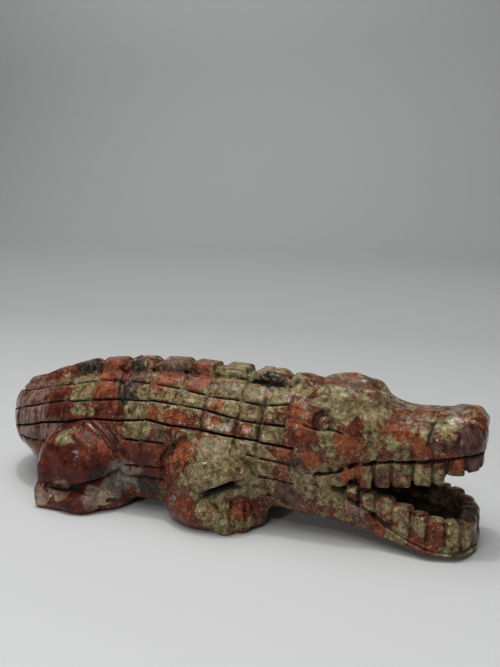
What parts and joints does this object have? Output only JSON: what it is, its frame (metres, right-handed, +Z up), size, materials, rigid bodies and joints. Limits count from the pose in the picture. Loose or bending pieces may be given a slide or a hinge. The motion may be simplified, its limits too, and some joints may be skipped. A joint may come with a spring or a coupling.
{
  "type": "carved stone crocodile figurine",
  "caption": "Polished stone crocodile carved in one piece, legs folded, mouth open, tail curled round beside the left hind leg.",
  "frame": {"origin": "on the surface it stands on, under the middle of its bounding box", "axes": "+X from tail to nose, +Y to the animal's left, +Z up"},
  "size_m": [0.1744, 0.067, 0.0491],
  "materials": {
    "jasper": "polished brecciated jasper, brick red and olive grey"
  },
  "bodies": {
    "root": {"crocodile": "jasper"}
  },
  "joints": []
}
